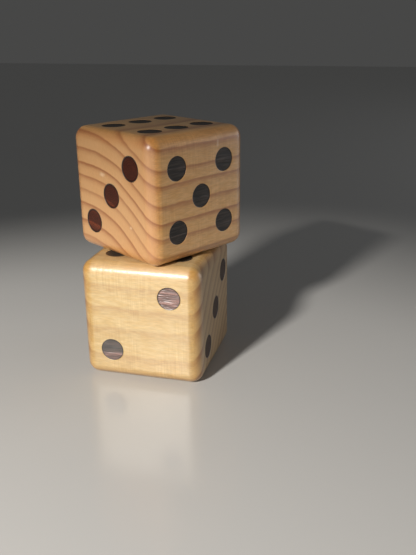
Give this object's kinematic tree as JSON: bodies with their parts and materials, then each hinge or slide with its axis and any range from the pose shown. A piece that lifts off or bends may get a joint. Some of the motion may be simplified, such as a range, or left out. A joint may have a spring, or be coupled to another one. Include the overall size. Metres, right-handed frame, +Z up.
{
  "type": "giant yard dice",
  "caption": "Oversized rounded softwood cubes with shallow dark pips, the upper one standing loose and turned on the lower, for lawn games.",
  "frame": {"origin": "on the ground, under the upright axis of the upper die, which is the middle of the whole stack's box", "axes": "+Z up; -Y is the outward normal of the lower die's two-pip face, +X of its three-pip face"},
  "size_m": [0.115, 0.115, 0.1781],
  "materials": {
    "pine": "clear gloss lacquer over bare softwood",
    "stained_pip": "dark brown stain on drilled softwood, under clear gloss lacquer"
  },
  "bodies": {
    "lower_die": {"lower_block": "pine", "lower_one_pip_1": "stained_pip", "lower_two_pip_1": "stained_pip", "lower_two_pip_2": "stained_pip", "lower_three_pip_1": "stained_pip", "lower_three_pip_2": "stained_pip", "lower_three_pip_3": "stained_pip", "lower_four_pip_1": "stained_pip", "lower_four_pip_2": "stained_pip", "lower_four_pip_3": "stained_pip", "lower_four_pip_4": "stained_pip", "lower_five_pip_1": "stained_pip", "lower_five_pip_2": "stained_pip", "lower_five_pip_3": "stained_pip", "lower_five_pip_4": "stained_pip", "lower_five_pip_5": "stained_pip", "lower_six_pip_1": "stained_pip", "lower_six_pip_2": "stained_pip", "lower_six_pip_3": "stained_pip", "lower_six_pip_4": "stained_pip", "lower_six_pip_5": "stained_pip", "lower_six_pip_6": "stained_pip"},
    "upper_die": {"upper_block": "pine", "upper_one_pip_1": "stained_pip", "upper_two_pip_1": "stained_pip", "upper_two_pip_2": "stained_pip", "upper_three_pip_1": "stained_pip", "upper_three_pip_2": "stained_pip", "upper_three_pip_3": "stained_pip", "upper_four_pip_1": "stained_pip", "upper_four_pip_2": "stained_pip", "upper_four_pip_3": "stained_pip", "upper_four_pip_4": "stained_pip", "upper_five_pip_1": "stained_pip", "upper_five_pip_2": "stained_pip", "upper_five_pip_3": "stained_pip", "upper_five_pip_4": "stained_pip", "upper_five_pip_5": "stained_pip", "upper_six_pip_1": "stained_pip", "upper_six_pip_2": "stained_pip", "upper_six_pip_3": "stained_pip", "upper_six_pip_4": "stained_pip", "upper_six_pip_5": "stained_pip", "upper_six_pip_6": "stained_pip"}
  },
  "joints": [
    {"name": "upper_die_lift", "type": "slide", "parent": "lower_die", "child": "upper_die", "axis": [0, 0, 1], "range_m": [0, 0.12]}
  ]
}
